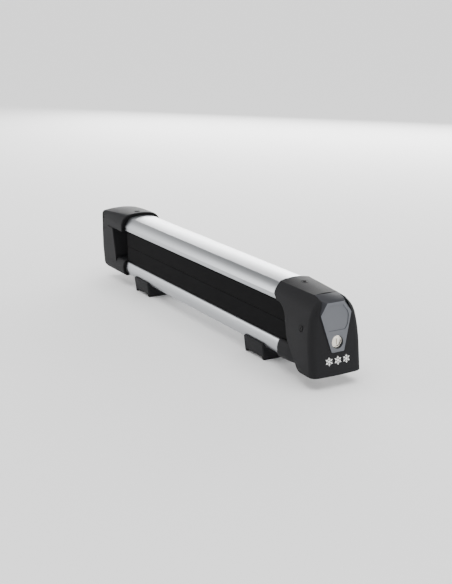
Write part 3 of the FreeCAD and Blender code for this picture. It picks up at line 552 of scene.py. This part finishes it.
def screws(name, part, axis, shank_r, head_h, finish, body, slot):
    """Turned screws in place of every screw of a CAD node, all along one axis towards their heads."""
    axis = Vector(axis)
    shape = bmesh.new()
    for low, high in islands(part):
        half = (high - low) / 2
        run = abs(half.dot(axis))
        turned_screw(shape, (low + high) / 2 - axis * run, axis, 2 * run, shank_r, min(half), head_h)
    return stand_in(shape, name, finish, body, slot, part)


black_steel, tree, shader = material("blackened_stainless", "#0F0F10", 0.6, 0.7)
stain = node(tree, "ShaderNodeTexNoise", [("Vector", coordinates(tree, (STAIN,) * 3))],
             Scale=1.0, Detail=3.0)
rough = node(tree, "ShaderNodeMapRange", [("Value", stain.outputs["Fac"])], To_Min=0.55, To_Max=0.68)
tree.links.new(rough.outputs["Result"], shader.inputs["Roughness"])
screws("cap_screws", "top_screws", (0, 0, 1), 0.0020, 0.0016, black_steel, "arm", "dark_steel")
screws("bracket_screws", "base_screws", (0, 0, -1), 0.0020, 0.0029, black_steel, "base", "dark_steel")
screws("foot_bolts", "foot_screws", (0, 0, -1), 0.0025, 0.0040, black_steel, "base", "dark_steel")

# ---- Hinge pin and pin ends --------------------------------------------------------------------
# Ground steel pin, blackened against rust, held by a spring clip in a groove near its end. The ends
# of the latch pin are covered by two small plugs of the same black steel.

PIN_EDGE = 0.0002
CLIP_EDGE = 0.0001

for name, part, edge in (("pivot_pin", "hinge_pin", PIN_EDGE), ("pivot_clip", "hinge_pin_clip", CLIP_EDGE),
                         ("side_plugs", "side_pin_caps", PIN_EDGE)):
    stand_in(eased(part, edge), name, black_steel, "arm", "dark_steel", part)

# ---- Raiser feet -------------------------------------------------------------------------------
# The same black nylon, moulded as open boxes with a web across. Each one lifts the rack off the roof
# bar and is screwed to nuts in the lower bar's channel; its edges are just broken.

FOOT_EDGE = 0.0005
FOOT_EASED_FROM = 40        # degrees

for name, foot in (("front_raiser", "foot_lock_end"), ("rear_raiser", "foot_hinge_end")):
    stand_in(eased(foot, FOOT_EDGE, FOOT_EASED_FROM), name, nylon, "base", "black_nylon", foot)

# ---- Latch, striker, cam and nuts --------------------------------------------------------------
# Mild steel, blanked or turned and then zinc plated: bright, with a slightly mottled sheen. Blanked
# parts keep a small rounding all round from barrel tumbling.

TUMBLED = 0.0002
MOTTLE = 0.004              # the zinc's cloudy patches

zinc, tree, shader = material("bright_zinc_plate", "#B9BCC0", 0.3, 1.0)
mottle = node(tree, "ShaderNodeTexNoise", [("Vector", coordinates(tree, (MOTTLE,) * 3))],
              Scale=1.0, Detail=4.0)
rough = node(tree, "ShaderNodeMapRange", [("Value", mottle.outputs["Fac"])], To_Min=0.24, To_Max=0.4)
tint = node(tree, "ShaderNodeMixRGB", [("Fac", mottle.outputs["Fac"])],
            Color1=linear("#ACB0B6"), Color2=linear("#C4C4C2"))
tree.links.new(rough.outputs["Result"], shader.inputs["Roughness"])
tree.links.new(tint.outputs["Color"], shader.inputs["Base Color"])
for name, part, body in (("hook_lever", "latch_lever", "latch"), ("strike_plate", "striker_plate", "base"),
                         ("turning_cam", "lock_cam", "key_plug"), ("sliding_nuts", "slide_nuts", "base"),
                         ("lever_pin", "side_pin", "arm"), ("press_pin", "button_pin", "arm")):
    stand_in(eased(part, TUMBLED), name, zinc, body, "zinc_steel", part)
screws("plate_screws", "striker_screws", (0, 0, 1), 0.0012, 0.0006, zinc, "base", "zinc_steel")
paint(zinc, "cam_screw")

# ---- Return springs ----------------------------------------------------------------------------
# Close-wound torsion springs of drawn music wire, one on the latch pin and one on the button pin.
# They bring the lever and the button back, and the bare wire has a dull sheen.

WIRE_STEPS = 24             # steps in each turn of the wire
WIRE_FACETS = 10
WIRE_SHARE = 0.92           # wire thickness as a share of the pitch
DRAWN = (0.0011, 0.0167, 0.0011)    # faint marks of the drawing die

spring_wire, tree, shader = material("drawn_spring_steel", "#8F8F90", 0.28, 1.0)
drawn = node(tree, "ShaderNodeTexNoise", [("Vector", coordinates(tree, DRAWN))], Scale=1.0)
rough = node(tree, "ShaderNodeMapRange", [("Value", drawn.outputs["Fac"])], To_Min=0.22, To_Max=0.36)
tree.links.new(rough.outputs["Result"], shader.inputs["Roughness"])
for name, part, coils in (("hook_return", "latch_spring", 8), ("press_return", "button_spring", 7)):
    low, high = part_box(part)
    centre = (low + high) / 2
    pitch = (high.y - low.y) / (coils + 1)
    wire_r = pitch * WIRE_SHARE / 2
    mean_r = (high.z - low.z) / 2 - wire_r
    shape = bmesh.new()
    start = Matrix.Translation((centre.x + mean_r, low.y + pitch / 2, centre.z))
    bmesh.ops.create_circle(shape, cap_ends=False, radius=wire_r, segments=WIRE_FACETS, matrix=start)
    bmesh.ops.spin(shape, geom=shape.verts[:] + shape.edges[:], cent=centre, axis=(0, 1, 0),
                   angle=2 * math.pi * coils, steps=WIRE_STEPS * coils, dvec=(0, pitch / WIRE_STEPS, 0))
    bmesh.ops.holes_fill(shape, edges=[e for e in shape.edges if e.is_boundary], sides=0)
    bmesh.ops.recalc_face_normals(shape, faces=shape.faces)
    stand_in(shape, name, spring_wire, "arm", "spring_steel", part)

# ---- Hinge bushes ------------------------------------------------------------------------------
# Natural acetal, turned and pressed into the bracket's lugs, so that the pin runs without grease. The
# bare plastic is a waxy off-white.

CLOUD = 0.005               # cloudy patches in the turned skin

acetal, tree, shader = material("natural_acetal", "#DAD6CB", 0.4)
cloud = node(tree, "ShaderNodeTexNoise", [("Vector", coordinates(tree, (CLOUD,) * 3))], Scale=1.0)
rough = node(tree, "ShaderNodeMapRange", [("Value", cloud.outputs["Fac"])], To_Min=0.36, To_Max=0.48)
tree.links.new(rough.outputs["Result"], shader.inputs["Roughness"])
paint(acetal, "hinge_bushes")
